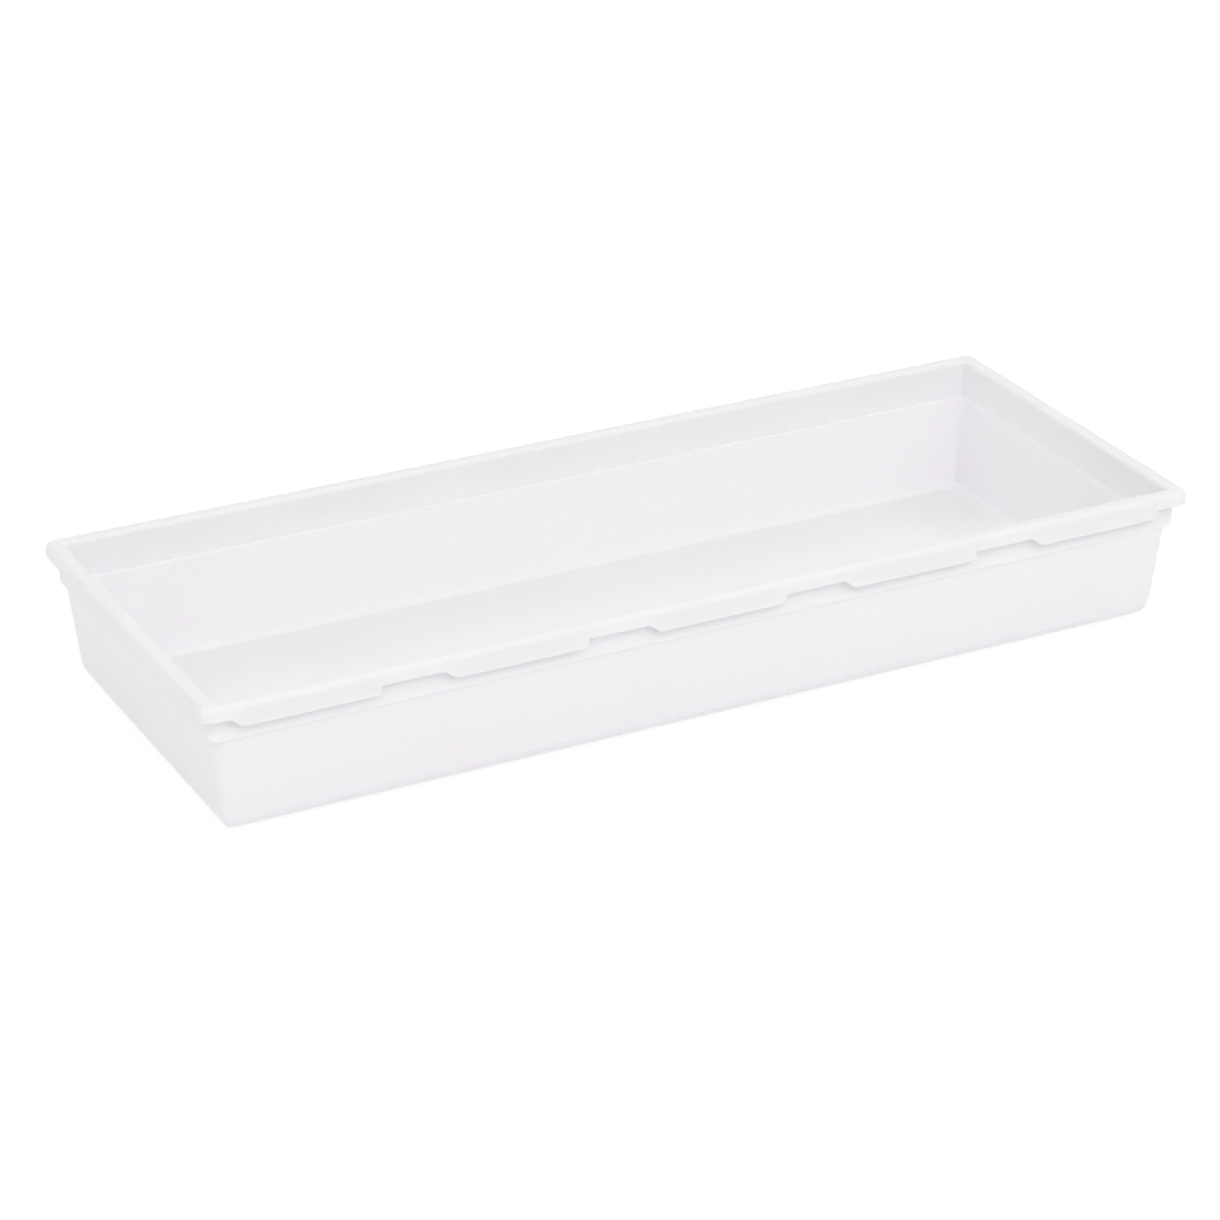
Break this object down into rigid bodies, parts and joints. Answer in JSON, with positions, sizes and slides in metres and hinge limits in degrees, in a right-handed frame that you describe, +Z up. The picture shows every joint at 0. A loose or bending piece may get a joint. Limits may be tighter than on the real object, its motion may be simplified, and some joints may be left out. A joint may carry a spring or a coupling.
{
  "type": "drawer organizer",
  "caption": "Shallow rectangular drawer organizer tray with tapered walls, an inner ledge and a rolled rim with hanging interlock tabs.",
  "frame": {"origin": "centre of the tray's flat underside", "axes": "+X along the tray's length, +Y along its width, +Z up out of its open top"},
  "size_m": [0.381, 0.15, 0.0518],
  "materials": {
    "tray": "white satin moulded polypropylene"
  },
  "bodies": {
    "root": {"tray": "tray"}
  },
  "joints": []
}
